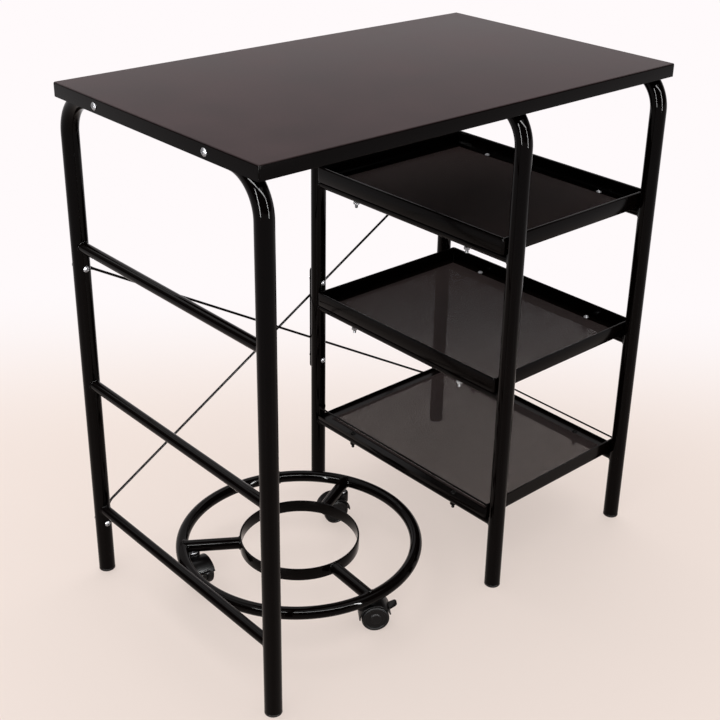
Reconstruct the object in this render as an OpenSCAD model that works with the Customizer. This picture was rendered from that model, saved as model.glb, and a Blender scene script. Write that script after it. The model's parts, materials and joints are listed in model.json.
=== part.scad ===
// Kitchen stove table: a folded sheet-steel top on three bent-tube frames, with two mesh
// trays and a mesh shelf in the right bay and a round rolling cylinder stand in the left bay.
// X runs along the table to the right, Y from front to back and Z up.
// The origin is on the floor, under the centre of the top.

/* [Table top] */
// Length of the top, left to right
top_l = 766; // [680:1:900]
// Depth of the top, front to back
top_w = 452; // [400:1:560]
// Height of the upper face above the floor
top_h = 790; // [740:1:900]
// Height of the folded skirt
skirt_h = 20; // [18:0.5:30]
// Thickness of the sheet steel in the top, trays and shelf
sheet_t = 1.2; // [0.8:0.1:2]
// Width of the lip folded under the front and back skirts
lip_w = 8; // [4:0.5:12]
// Outside radius of the folds round the upper face
fold_r = 2.4; // [1.5:0.1:4]

/* [Frames] */
// Outside diameter of the leg tube
tube_d = 25; // [20:0.5:28]
// Wall of the leg tube
tube_wall = 1.2; // [0.8:0.1:2]
// Centre-line radius of the two bends in each frame
bend_r = 58; // [45:1:80]
// How far the legs stand out past the front and back skirts
leg_proud = 2.5; // [0:0.5:6]
// Distance of the middle frame from the centre of the table, to the right
mid_x = 69; // [30:1:110]

/* [Rungs] */
// Outside diameter of the rungs
rung_d = 16; // [12:0.5:19]
// Wall of the rungs
rung_wall = 1; // [0.8:0.1:2]
// Height of the lowest rungs' axis
rung_z0 = 114; // [95:1:140]
// Rise from one rung to the next
rung_pitch = 220.5; // [190:0.5:235]

/* [Feet] */
// Height of the foot plug below the end of the tube
foot_h = 4; // [2:0.5:8]
// Length of the foot plug inside the tube
foot_spigot = 16; // [10:1:30]

/* [Trays] */
// Height of the tray rims
rim_h = 23; // [16:0.5:35]
// Width of the flange at the foot of the rims
flange_w = 24; // [20:0.5:32]
// Corner radius of the trays
tray_corner_r = 4; // [2:0.5:8]
// Room between the trays and the legs
tray_room = 0.5; // [0.3:0.1:2]
// Thickness of the mesh floors
mesh_t = 1.2; // [0.8:0.1:2]
// Height of the low edge along the open sides of the bottom shelf
shelf_edge_h = 6; // [3:0.5:10]
// Diameter of the guard wires over the open sides of the bottom shelf
guard_wire_d = 3; // [2:0.5:5]

/* [Fasteners] */
// Distance of the top and tray bolts from the table's centre line
bolt_y = 122; // [80:1:140]
// Height of the top bolts above the axis of the tube that they pass through
top_bolt_rise = 3; // [0:0.5:4]
// Thread diameter of the bolts through the top's skirts
top_bolt_d = 6; // [5:0.5:8]
// Thread diameter of the tray and brace bolts
small_bolt_d = 5; // [4:0.5:6]
// Head height of every bolt, as a round pan head
head_h = 3; // [2:0.25:4]
// Length of thread left standing past the top and tray nuts
bolt_tail = 6; // [1:0.5:9]
// Length of thread left standing past the brace nuts
brace_tail = 3; // [1:0.5:9]
// Wall of the clips that hold the middle frame to the top
clip_t = 2.5; // [1.5:0.1:4]
// Length of those clips along the tube
clip_l = 30; // [20:1:50]

/* [Back brace] */
// Diameter of the two crossed rods
rod_d = 4; // [3:0.5:6]
// Distance of the high rod ends below the top rungs' axis
brace_high_drop = 33; // [18:1:60]
// Distance of the low rod ends below the lowest rungs' axis
brace_low_drop = 24; // [18:1:40]
// Width of the rod tabs and of the strip behind the middle leg
strip_w = 14; // [12:0.5:20]
// Thickness of the rod tabs and of the strip
strip_t = 2.5; // [1.5:0.1:4]
// Length of the strip
strip_l = 190; // [170:1:240]
// Distance between the strip's two bolts
strip_bolt_span = 146; // [120:1:156]
// Length of a rod tab from its bolt
tab_l = 16; // [14:0.5:24]
// Length over which a rod steps out from its tab
step_l = 18; // [10:1:40]
// Width of the neck between a tab and its rod
neck_w = 7; // [5:0.5:10]
// Length of neck that overlaps the tab and the rod
neck_lap = 6; // [3:0.5:10]

/* [Rolling stand] */
// Distance of the stand from the middle of its bay, to the right
stand_dx = 9; // [0:0.5:9]
// Distance of the stand behind the table's centre line
stand_dy = 9; // [-10:0.5:15]
// Centre-line radius of the outer ring
ring_r = 184.5; // [150:0.5:184.5]
// Diameter of the ring and spoke tube
ring_tube_d = 19; // [15:0.5:20]
// Centre-line radius of the inner strip ring
inner_r = 93; // [70:0.5:110]
// Height of the inner strip ring
inner_h = 20; // [14:0.5:24]
// Thickness of the inner strip ring
inner_t = 3; // [2:0.1:5]
// Direction of the right spoke, from the X axis
spoke_angle = 26; // [0:1:60]

/* [Casters] */
// Diameter of the wheels, two to a caster
wheel_d = 42; // [36:0.5:50]
// Width of each wheel
wheel_w = 10.5; // [9:0.5:14]
// Radius of the tread's shoulders
wheel_edge_r = 4; // [2:0.5:4]
// Distance of the swivel axes from the outer ring's centre line
caster_inset = 16.5; // [16:0.5:30]
// Distance of the axles behind their swivel axes
trail = 16; // [14:0.5:20]
// Thickness of the web between the two wheels
web_t = 12; // [11:0.5:16]
// Room between the wheels and the hood
hood_room = 1.6; // [1:0.1:2]
// Thickness of the hood
hood_t = 2; // [1.5:0.1:2.5]
// Direction of the hood's front edge from the axle, up from level
hood_from = 20; // [15:1:45]
// Angle that the hood covers, over the wheels and down behind them
hood_sweep = 160; // [130:1:165]
// Length of the foot tab on the front of the hood
foot_tab_l = 14; // [8:0.5:16]
// Width of the foot tab
foot_tab_w = 16; // [10:0.5:20]
// Thickness of the foot tab
foot_tab_t = 3; // [2:0.25:4]
// Diameter of the boss round the stem
boss_d = 22; // [18:0.5:28]
// Height of the boss above the wheels
boss_rise = 7; // [5:0.25:10]
// Room between each wheel and the web
wheel_room = 0.8; // [0.4:0.1:2]
// Diameter of the swivel stem
stem_d = 8; // [6:0.5:8.5]
// Diameter of the stem's collar
collar_d = 16; // [13:0.5:18]
// Height of the stem's collar
collar_h = 2; // [1:0.25:4]
// Diameter of the spring ring that holds the stem in the boss
stem_ring_d = 10; // [9:0.25:11]
// Height of the spring ring
stem_ring_h = 1.5; // [1:0.25:2]
// Diameter of the axles
axle_d = 5; // [4:0.25:6]

/* [Fits] */
// Gap left at welded and clamped round faces
weld_gap = 0.1; // [0.05:0.01:0.2]
// Radial clearance of bolts in their holes
hole_clear = 0.25; // [0.1:0.05:0.5]
// Radial clearance of a turning fit
run_clear = 0.05; // [0.02:0.01:0.1]
// End play of the swivels
end_play = 0.3; // [0.2:0.05:0.5]

/* [Hidden] */

$fn = 64;
// Extra length of a cutting tool past the face it cuts
past = 1;
black_paint = [0.05, 0.045, 0.045];
black_plastic = [0.08, 0.08, 0.085];
black_mesh = [0.12, 0.11, 0.11];
bright_zinc = [0.75, 0.75, 0.77];

// Frames: the runs lie under the top, against the inside of its end skirts
run_z = top_h - sheet_t - weld_gap - tube_d / 2;
bend_z = run_z - bend_r;
leg_y = top_w / 2 + leg_proud - tube_d / 2;
bend_y = leg_y - bend_r;
frame_x = top_l / 2 - sheet_t - weld_gap - tube_d / 2;
FRAME_X = [-frame_x, mid_x, frame_x];
FRAME_NAMES = ["left", "middle", "right"];
LEG_SIDES = [-1, 1];
LEG_NAMES = ["front", "back"];
LEVEL_NAMES = ["low", "mid", "high"];
function rung_z(level) = rung_z0 + level * rung_pitch;

// Trays: they rest on the rungs of the middle and right frames, between the legs
tray_x0 = mid_x - tube_d / 2;
tray_x1 = frame_x + tube_d / 2;
tray_l = tray_x1 - tray_x0;
tray_x = (tray_x0 + tray_x1) / 2;
tray_w = 2 * (leg_y - tube_d / 2 - tray_room);
function seat_z(level) = rung_z(level) + rung_d / 2 + weld_gap;
small_head_d = 1.8 * small_bolt_d;
mesh_inset = tube_d / 2 + small_head_d / 2 + 1;
guard_x = tray_l / 2 - tray_corner_r - guard_wire_d / 2;
guard_z = seat_z(0) + rim_h - guard_wire_d;

// Bolts
top_bolt_z = run_z + top_bolt_rise;
top_head_d = 1.8 * top_bolt_d;
small_nut_h = 0.8 * small_bolt_d;
top_nut_h = 0.8 * top_bolt_d;

// Brace: it lies flat against the back of the legs
brace_y = leg_y + tube_d / 2 + weld_gap;
brace_low_z = rung_z(0) - brace_low_drop;
brace_high_z = rung_z(2) - brace_high_drop;
brace_mid_z = (brace_low_z + brace_high_z) / 2;
brace_l = norm([2 * frame_x, brace_high_z - brace_low_z]);
brace_tilt = atan2(brace_high_z - brace_low_z, 2 * frame_x);
falling_rod_off = strip_t + weld_gap + rod_d / 2;
rising_rod_off = falling_rod_off + rod_d + weld_gap;
STRIP_BOLT_Z = [for (s = LEG_SIDES) brace_mid_z + s * strip_bolt_span / 2];
END_BOLT_Z = [brace_low_z, brace_high_z];

// Rolling stand, from the floor up: wheels, boss, stem collar, spoke
stand_x = (mid_x - frame_x) / 2 + stand_dx;
axle_z = wheel_d / 2;
boss_top_z = wheel_d + boss_rise;
boss_low_z = axle_z + wheel_d / 4;
collar_z = boss_top_z + end_play;
ring_z = collar_z + collar_h + weld_gap + ring_tube_d / 2;
caster_r = ring_r - caster_inset;
stem_top_z = ring_z + ring_tube_d / 4;
stem_low_z = axle_z + wheel_d / 8;
stem_ring_z = boss_top_z - boss_rise / 2;
hood_r = wheel_d / 2 + hood_room;
foot_tab_angle = hood_from + 8;
wheel_y = web_t / 2 + wheel_room + wheel_w / 2;
caster_w = 2 * wheel_y + wheel_w;
axle_depth = 0.7 * wheel_w;
CASTER_NAMES = ["right", "left", "front"];
SPOKE_ANGLES = [for (i = [0:2]) spoke_angle + 120 * i];
// The way each caster trails its swivel axis, from the X axis
TRAIL_ANGLES = [165, 265, 325];

// Rectangle with round corners, centred
module rounded_rect(l, w, r) {
    square([l - 2 * r, w], center = true);
    square([l, w - 2 * r], center = true);
    for (sx = [-1, 1], sy = [-1, 1])
        translate([sx * (l / 2 - r), sy * (w / 2 - r)])
            circle(r = r);
}

// Bolt with a domed head above Z = 0 and its shank below
module pan_bolt(d, head_d, shank_l) {
    wall = head_h / 4;
    rise = head_h - wall;
    dome_r = (rise * rise + head_d * head_d / 4) / (2 * rise);
    intersection() {
        cylinder(d = head_d, h = head_h);
        translate([0, 0, head_h - dome_r])
            sphere(r = dome_r);
    }
    translate([0, 0, -shank_l])
        cylinder(d = d, h = shank_l + wall);
}

// Hexagon nut standing on Z = 0
module hex_nut(d, h) {
    difference() {
        cylinder(d = 2 * d, h = h, $fn = 6);
        translate([0, 0, -past])
            cylinder(r = d / 2 + run_clear, h = h + 2 * past);
    }
}

// Solid bar bent to an inverted U, from low_z up one leg, across and down the other
module u_bar(d, low_z) {
    for (m = [0, 1])
        mirror([0, m, 0]) {
            translate([0, leg_y, low_z])
                cylinder(d = d, h = bend_z - low_z);
            translate([0, bend_y, bend_z])
                rotate([90, 0, 90])
                    rotate_extrude(angle = 90)
                        translate([bend_r, 0])
                            circle(d = d);
        }
    translate([0, 0, run_z])
        rotate([90, 0, 0])
            cylinder(d = d, h = 2 * bend_y, center = true);
}

// Bent tube frame at x, drilled for the top bolts and for brace bolts in its back leg
module bent_frame(x, brace_heights) {
    color(black_paint)
        translate([x, 0, 0])
            difference() {
                u_bar(tube_d, foot_h);
                u_bar(tube_d - 2 * tube_wall, foot_h - past);
                for (s = LEG_SIDES)
                    translate([0, s * bolt_y, top_bolt_z])
                        rotate([0, 90, 0])
                            cylinder(r = top_bolt_d / 2 + hole_clear, h = tube_d + past, center = true);
                for (z = brace_heights)
                    translate([0, leg_y, z])
                        rotate([90, 0, 0])
                            cylinder(r = small_bolt_d / 2 + hole_clear, h = tube_d + past, center = true);
            }
}

// Tube rung between the legs of the frame at x, its ends cut to the legs' round
module rung(x, z, drilled) {
    color(black_paint)
        translate([x, 0, z])
            difference() {
                rotate([90, 0, 0])
                    cylinder(d = rung_d, h = 2 * leg_y, center = true);
                rotate([90, 0, 0])
                    cylinder(d = rung_d - 2 * rung_wall, h = 2 * leg_y + past, center = true);
                for (s = LEG_SIDES)
                    translate([0, s * leg_y, 0])
                        cylinder(d = tube_d + 2 * weld_gap, h = 2 * rung_d, center = true);
                if (drilled)
                    for (s = LEG_SIDES)
                        translate([0, s * bolt_y, 0])
                            cylinder(r = small_bolt_d / 2 + hole_clear, h = 2 * rung_d, center = true);
            }
}

// Plastic plug in the end of a leg
module foot(x, y) {
    color(black_plastic)
        translate([x, y, 0]) {
            cylinder(d = tube_d, h = foot_h);
            cylinder(d = tube_d - 2 * tube_wall - 2 * weld_gap, h = foot_h + foot_spigot);
        }
}

// Block with its four upper edges and four upright edges rounded, its top at Z = 0
module folded_block(l, w, h, r) {
    intersection() {
        translate([0, 0, -h])
            linear_extrude(h)
                rounded_rect(l, w, r);
        rotate([90, 0, 0])
            linear_extrude(w + past, center = true)
                translate([0, -h])
                    rounded_rect(l, 2 * h, r);
        rotate([90, 0, 90])
            linear_extrude(l + past, center = true)
                translate([0, -h])
                    rounded_rect(w, 2 * h, r);
    }
}

module table_top() {
    inner_l = top_l - 2 * sheet_t;
    inner_w = top_w - 2 * sheet_t;
    color(black_paint)
        translate([0, 0, top_h]) {
            difference() {
                folded_block(top_l, top_w, skirt_h, fold_r);
                translate([-inner_l / 2, -inner_w / 2, -skirt_h - past])
                    cube([inner_l, inner_w, skirt_h + past - sheet_t]);
                for (s = LEG_SIDES)
                    translate([0, s * bolt_y, top_bolt_z - top_h])
                        rotate([0, 90, 0])
                            cylinder(r = top_bolt_d / 2 + hole_clear, h = top_l + past, center = true);
            }
            for (m = [0, 1])
                mirror([0, m, 0])
                    translate([-inner_l / 2, top_w / 2 - lip_w, -skirt_h])
                        cube([inner_l, lip_w - sheet_t / 2, sheet_t]);
        }
}

// Clips under the top, beside the middle frame's run
module middle_clips() {
    clip_w = tube_d;
    clip_h = tube_d;
    clip_x = mid_x + tube_d / 2 + weld_gap;
    color(black_paint)
        for (s = LEG_SIDES)
            translate([clip_x, s * bolt_y, top_h - sheet_t])
                difference() {
                    union() {
                        translate([0, -clip_l / 2, -clip_h])
                            cube([clip_t, clip_l, clip_h]);
                        translate([0, -clip_l / 2, -clip_t])
                            cube([clip_w, clip_l, clip_t]);
                    }
                    translate([0, 0, top_bolt_z - top_h + sheet_t])
                        rotate([0, 90, 0])
                            cylinder(r = top_bolt_d / 2 + hole_clear, h = 4 * clip_t, center = true);
                }
}

// Sheet rim with an inward flange at its foot, drilled over the rungs
module tray_rim(level) {
    color(black_paint)
        translate([tray_x, 0, seat_z(level)])
            difference() {
                linear_extrude(rim_h)
                    rounded_rect(tray_l, tray_w, tray_corner_r);
                translate([0, 0, sheet_t])
                    linear_extrude(rim_h)
                        rounded_rect(tray_l - 2 * sheet_t, tray_w - 2 * sheet_t, tray_corner_r - sheet_t);
                translate([0, 0, -past])
                    linear_extrude(rim_h)
                        square([tray_l - 2 * flange_w, tray_w - 2 * flange_w], center = true);
                for (sx = [-1, 1], sy = LEG_SIDES)
                    translate([sx * (tray_l - tube_d) / 2, sy * bolt_y, 0])
                        cylinder(r = small_bolt_d / 2 + hole_clear, h = 4 * sheet_t, center = true);
            }
}

// The shelf is a tray whose left and right walls are cut down to a low edge
module bottom_shelf_rim() {
    difference() {
        tray_rim(0);
        translate([tray_x - tray_l / 2 - past, tray_corner_r - tray_w / 2, seat_z(0) + shelf_edge_h])
            cube([tray_l + 2 * past, tray_w - 2 * tray_corner_r, rim_h]);
    }
}

// Mesh floor, laid on the flange clear of the bolt heads
module tray_mesh(level) {
    mesh_l = tray_l - 2 * mesh_inset;
    mesh_w = tray_w - 2 * mesh_inset;
    color(black_mesh)
        translate([tray_x - mesh_l / 2, -mesh_w / 2, seat_z(level) + sheet_t])
            cube([mesh_l, mesh_w, mesh_t]);
}

module guard_wire(side) {
    color(black_paint)
        translate([tray_x + side * guard_x, 0, guard_z])
            rotate([90, 0, 0])
                cylinder(d = guard_wire_d, h = tray_w - 2 * (sheet_t + weld_gap), center = true);
}

// Place children at each bolt through the top, its head turned outwards
module at_top_bolts() {
    skirt_x = top_l / 2;
    clip_x = mid_x + tube_d / 2 + weld_gap + clip_t;
    for (s = LEG_SIDES) {
        translate([-skirt_x, s * bolt_y, top_bolt_z])
            rotate([0, -90, 0])
                children(0);
        translate([skirt_x, s * bolt_y, top_bolt_z])
            rotate([0, 90, 0])
                children(0);
        translate([clip_x, s * bolt_y, top_bolt_z])
            rotate([0, 90, 0])
                children(1);
    }
}

module top_bolts() {
    end_grip = sheet_t + weld_gap + tube_d + weld_gap + top_nut_h;
    clip_grip = clip_t + weld_gap + tube_d + weld_gap + top_nut_h;
    color(bright_zinc)
        at_top_bolts() {
            pan_bolt(top_bolt_d, top_head_d, end_grip + bolt_tail);
            pan_bolt(top_bolt_d, top_head_d, clip_grip + bolt_tail);
        }
}

module top_nuts() {
    color(bright_zinc)
        at_top_bolts() {
            translate([0, 0, -sheet_t - tube_d - 2 * weld_gap - top_nut_h])
                hex_nut(top_bolt_d, top_nut_h);
            translate([0, 0, -clip_t - tube_d - 2 * weld_gap - top_nut_h])
                hex_nut(top_bolt_d, top_nut_h);
        }
}

// Place children on the flange over each rung that carries a tray
module at_tray_bolts() {
    for (x = [mid_x, frame_x], s = LEG_SIDES, level = [0:2])
        translate([x, s * bolt_y, seat_z(level) + sheet_t])
            children();
}

tray_grip = sheet_t + 2 * weld_gap + rung_d + small_nut_h;

module tray_bolts() {
    color(bright_zinc)
        at_tray_bolts()
            pan_bolt(small_bolt_d, small_head_d, tray_grip + bolt_tail);
}

module tray_nuts() {
    color(bright_zinc)
        at_tray_bolts()
            translate([0, 0, -tray_grip])
                hex_nut(small_bolt_d, small_nut_h);
}

// Rod along X from bolt to bolt, its ends flattened to drilled tabs that step in to the legs
module brace_rod(off) {
    rod_start = tab_l + step_l;
    difference() {
        union() {
            for (m = [0, 1])
                translate([m * brace_l, 0, 0])
                    mirror([m, 0, 0]) {
                        rotate([-90, 0, 0])
                            linear_extrude(strip_t) {
                                circle(d = strip_w);
                                translate([0, -strip_w / 2])
                                    square([tab_l, strip_w]);
                            }
                        linear_extrude(neck_w, center = true)
                            stepped_neck(off - strip_t / 2);
                    }
            translate([rod_start, off, 0])
                rotate([0, 90, 0])
                    cylinder(d = rod_d, h = brace_l - 2 * rod_start);
        }
        for (x = [0, brace_l])
            translate([x, 0, 0])
                rotate([90, 0, 0])
                    cylinder(r = small_bolt_d / 2 + hole_clear, h = 4 * strip_t, center = true);
    }
}

// Side outline of the neck between a tab and its rod, which steps out by rise
module stepped_neck(rise) {
    FACE = [
        [tab_l - neck_lap, 0], [tab_l, 0],
        [tab_l + step_l, rise], [tab_l + step_l + neck_lap, rise]
    ];
    polygon(concat(FACE, [for (i = [3:-1:0]) FACE[i] + [0, strip_t]]));
}

module falling_brace_rod() {
    color(black_paint)
        translate([-frame_x, brace_y, brace_high_z])
            rotate([0, brace_tilt, 0])
                brace_rod(falling_rod_off);
}

module rising_brace_rod() {
    color(black_paint)
        translate([-frame_x, brace_y, brace_low_z])
            rotate([0, -brace_tilt, 0])
                brace_rod(rising_rod_off);
}

// Strip on the back of the middle leg, where the falling rod is welded to it
module brace_strip() {
    end_z = (strip_l - strip_w) / 2;
    color(black_paint)
        translate([mid_x, brace_y, brace_mid_z])
            rotate([-90, 0, 0])
                linear_extrude(strip_t)
                    difference() {
                        union() {
                            square([strip_w, 2 * end_z], center = true);
                            for (s = [-1, 1])
                                translate([0, s * end_z])
                                    circle(d = strip_w);
                        }
                        for (s = [-1, 1])
                            translate([0, s * strip_bolt_span / 2])
                                circle(r = small_bolt_d / 2 + hole_clear);
                    }
}

// Place children on the front of the back legs at each brace bolt, heads to the front
module at_brace_bolts() {
    front_y = leg_y - tube_d / 2 - weld_gap;
    for (x = [-frame_x, frame_x], z = END_BOLT_Z)
        translate([x, front_y, z])
            rotate([90, 0, 0])
                children();
    for (z = STRIP_BOLT_Z)
        translate([mid_x, front_y, z])
            rotate([90, 0, 0])
                children();
}

brace_grip = tube_d + 2 * weld_gap + strip_t + small_nut_h;

module brace_bolts() {
    color(bright_zinc)
        at_brace_bolts()
            pan_bolt(small_bolt_d, small_head_d, brace_grip + brace_tail);
}

module brace_nuts() {
    color(bright_zinc)
        at_brace_bolts()
            translate([0, 0, -brace_grip])
                hex_nut(small_bolt_d, small_nut_h);
}

module at_stand() {
    translate([stand_x, stand_dy, 0])
        children();
}

// Place children on the swivel axis of one caster, X along its spoke
module at_caster(i) {
    at_stand()
        rotate(SPOKE_ANGLES[i])
            translate([caster_r, 0, 0])
                children();
}

// The same, with X along the way the wheel trails
module at_trail(i) {
    at_caster(i)
        rotate(TRAIL_ANGLES[i] - SPOKE_ANGLES[i])
            children();
}

module ring_bar(d) {
    translate([0, 0, ring_z])
        rotate_extrude()
            translate([ring_r, 0])
                circle(d = d);
}

module stand_outer_ring() {
    color(black_paint)
        at_stand()
            ring_bar(ring_tube_d);
}

module stand_inner_ring() {
    color(black_paint)
        at_stand()
            translate([0, 0, ring_z])
                rotate_extrude()
                    translate([inner_r, 0])
                        square([inner_t, inner_h], center = true);
}

// Spoke between the rings, its ends cut to their round, with a socket for the caster stem
module spoke(i) {
    color(black_paint)
        at_stand()
            difference() {
                rotate(SPOKE_ANGLES[i])
                    translate([inner_r, 0, ring_z])
                        rotate([0, 90, 0])
                            cylinder(d = ring_tube_d, h = ring_r - inner_r);
                cylinder(r = inner_r + inner_t / 2 + weld_gap, h = 2 * ring_z);
                ring_bar(ring_tube_d + 2 * weld_gap);
                rotate(SPOKE_ANGLES[i])
                    translate([caster_r, 0, 0])
                        cylinder(r = stem_d / 2 + run_clear, h = stem_top_z + weld_gap);
            }
}

// Stem fixed in the spoke, with a collar over the boss and a spring ring within it
module caster_stem(i) {
    low_z = stem_low_z + end_play;
    color(bright_zinc)
        at_caster(i) {
            translate([0, 0, low_z])
                cylinder(d = stem_d, h = stem_top_z - low_z);
            translate([0, 0, stem_ring_z])
                cylinder(d = stem_ring_d, h = stem_ring_h);
            translate([0, 0, collar_z])
                cylinder(d = collar_d, h = collar_h);
        }
}

// Side outline of the web round the axle: a disc clear of the floor, wider under the hood
module web_outline() {
    reach = hood_r + hood_t / 2;
    inside = 4;
    HOOD_WAYS = [for (k = [0:3]) hood_from + inside + k * (hood_sweep - 2 * inside) / 3];
    WEDGE = [for (way = HOOD_WAYS) 2 * reach * [cos(way), sin(way)]];
    circle(r = 0.42 * wheel_d);
    intersection() {
        circle(r = reach);
        polygon(concat([[0, 0]], WEDGE));
    }
}

// Fork: a web between the two wheels, a hood over them with a foot tab, and a boss on the stem
module caster_fork(i) {
    color(black_plastic)
        at_trail(i)
            difference() {
                union() {
                    translate([trail, 0, axle_z])
                        rotate([90, 0, 0]) {
                            linear_extrude(web_t, center = true)
                                web_outline();
                            rotate(hood_from)
                                rotate_extrude(angle = hood_sweep)
                                    translate([hood_r, -caster_w / 2])
                                        square([hood_t, caster_w]);
                        }
                    translate([trail, 0, axle_z])
                        rotate([0, -foot_tab_angle, 0])
                            translate([hood_r + hood_t / 2, -foot_tab_w / 2, -foot_tab_t / 2])
                                cube([foot_tab_l, foot_tab_w, foot_tab_t]);
                    difference() {
                        translate([0, 0, boss_low_z])
                            cylinder(d = boss_d, h = boss_top_z - boss_low_z);
                        translate([trail, 0, axle_z])
                            rotate([90, 0, 0])
                                cylinder(r = hood_r + hood_t / 3, h = 2 * boss_d, center = true);
                    }
                }
                translate([0, 0, stem_low_z])
                    cylinder(r = stem_d / 2 + run_clear, h = boss_top_z);
                translate([0, 0, stem_ring_z - end_play])
                    cylinder(r = stem_ring_d / 2 + end_play, h = stem_ring_h + 2 * end_play);
                translate([trail, 0, axle_z])
                    rotate([90, 0, 0])
                        cylinder(r = axle_d / 2 + run_clear, h = 2 * web_t, center = true);
            }
}

// Place children on the axle of one caster, Z along the axle
module at_axle(i) {
    at_trail(i)
        translate([trail, 0, axle_z])
            rotate([90, 0, 0])
                children();
}

// Axle fixed in the web, its ends inside the wheels
module caster_axle(i) {
    color(bright_zinc)
        at_axle(i)
            cylinder(d = axle_d, h = web_t + 2 * (wheel_room + axle_depth - weld_gap), center = true);
}

// Wheel on one side of the web, with a rounded tread and a dished outer face round its hub
module caster_wheel(i, side) {
    bore_r = axle_d / 2 + run_clear;
    hub_r = 1.6 * axle_d;
    dish_w = 0.38 * wheel_d - hub_r;
    dish_depth = wheel_w / 6;
    color(black_plastic)
        at_axle(i)
            mirror([0, 0, side])
                translate([0, 0, wheel_y])
                    rotate_extrude()
                        difference() {
                            intersection() {
                                rounded_rect(wheel_d, wheel_w, wheel_edge_r);
                                translate([0, -wheel_w])
                                    square([wheel_d, 2 * wheel_w]);
                            }
                            translate([0, -wheel_w / 2 - past])
                                square([bore_r, axle_depth + past]);
                            translate([hub_r, wheel_w / 2 - dish_depth])
                                square([dish_w, 2 * dish_depth]);
                        }
}

table_top();
middle_clips();
bent_frame(-frame_x, END_BOLT_Z);  // left_frame
bent_frame(mid_x, STRIP_BOLT_Z);  // middle_frame
bent_frame(frame_x, END_BOLT_Z);  // right_frame
for (f = [0:2], level = [0:2])
    rung(FRAME_X[f], rung_z(level), f > 0);
for (f = [0:2], side = [0, 1])
    foot(FRAME_X[f], LEG_SIDES[side] * leg_y);
tray_rim(2);  // top_tray_rim
tray_mesh(2);  // top_tray_mesh
tray_rim(1);  // middle_tray_rim
tray_mesh(1);  // middle_tray_mesh
bottom_shelf_rim();
tray_mesh(0);  // bottom_shelf_mesh
guard_wire(-1);  // left_guard_wire
guard_wire(1);  // right_guard_wire
top_bolts();
top_nuts();
tray_bolts();
tray_nuts();
falling_brace_rod();
rising_brace_rod();
brace_strip();
brace_bolts();
brace_nuts();
stand_outer_ring();
stand_inner_ring();
for (i = [0:2]) {
    spoke(i);
    caster_stem(i);
    caster_fork(i);
    caster_axle(i);
    caster_wheel(i, 0);
    caster_wheel(i, 1);
}
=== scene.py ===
import json
import math

import bmesh
import bpy
from mathutils import Matrix, Vector


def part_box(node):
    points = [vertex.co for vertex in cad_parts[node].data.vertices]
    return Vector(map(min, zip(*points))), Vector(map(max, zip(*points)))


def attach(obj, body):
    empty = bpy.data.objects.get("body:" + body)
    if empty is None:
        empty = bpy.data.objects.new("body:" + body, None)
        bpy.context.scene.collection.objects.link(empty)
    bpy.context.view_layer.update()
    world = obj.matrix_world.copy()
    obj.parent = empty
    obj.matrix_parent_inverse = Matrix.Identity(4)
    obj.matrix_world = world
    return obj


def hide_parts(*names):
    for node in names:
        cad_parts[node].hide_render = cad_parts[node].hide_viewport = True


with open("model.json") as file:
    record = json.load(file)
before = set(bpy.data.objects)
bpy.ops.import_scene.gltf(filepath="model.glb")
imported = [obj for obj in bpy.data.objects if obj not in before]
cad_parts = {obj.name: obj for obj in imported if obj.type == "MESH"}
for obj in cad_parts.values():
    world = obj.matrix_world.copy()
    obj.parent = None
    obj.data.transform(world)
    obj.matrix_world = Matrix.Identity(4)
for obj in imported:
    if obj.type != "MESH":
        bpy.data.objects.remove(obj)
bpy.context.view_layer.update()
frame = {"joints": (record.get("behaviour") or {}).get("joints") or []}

FRAMES = ("left", "middle", "right")
LEVELS = ("low", "mid", "high")
TRAYS = ("top_tray", "middle_tray", "bottom_shelf")
CASTERS = ("right", "left", "front")
SIDES = (-1, 1)
SMALL = 1e-5


def span(node):
    """The middle and the size of a node's box."""
    low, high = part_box(node)
    return (low + high) / 2, high - low


# Sizes that the frame gives
top_middle, top_size = span("table_top")
frame_low, frame_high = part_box("left_frame")
TUBE_R = (frame_high.x - frame_low.x) / 2
LEG_Y = frame_high.y - TUBE_R
LEG_LOW = frame_low.z
RUN_Z = frame_high.z - TUBE_R
FRAME_X = [span(f"{name}_frame")[0].x for name in FRAMES]
RUNG_R = span("left_rung_low")[1].x / 2
stand_middle, ring_size = span("stand_outer_ring")
RING_TUBE_R = ring_size.z / 2
RING_R = ring_size.x / 2 - RING_TUBE_R
WHEEL_R = span("right_caster_wheel")[1].z / 2
BOSS_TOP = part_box("right_caster_fork")[1].z
PIVOTS = {joint["name"]: Vector(joint["pos_m"]) for joint in frame["joints"] if "pos_m" in joint}

# Sizes of the folded sheet
SHEET = 0.0012
FOLD_R = 0.0024
LIP_W = 0.008
FLANGE_W = 0.024
TRAY_CORNER_R = 0.004
SHELF_EDGE_H = 0.006
SHELF_EAR_W = 0.016
HEM_T = 0.0027
HEM_H = 0.005
HEM_EASE = 0.0009

# Sizes of the tube work
BEND_R = 0.058
RUNG_BITE = 0.006
BEAD_R = 0.0016
BEAD_RIPPLES = 18
BEAD_RIPPLE = 0.14
BEAD_REACH = 0.97
BEND_STEPS = 20
PLUG_NECK = 0.01
PLUG_WALL = 0.0016

# Sizes of the wire floors
WIRE_R = 0.0004
WIRE_PITCH = 0.0016
WIRE_SIDES = 6
CROSS_LIFT = 1.8 * WIRE_R

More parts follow.
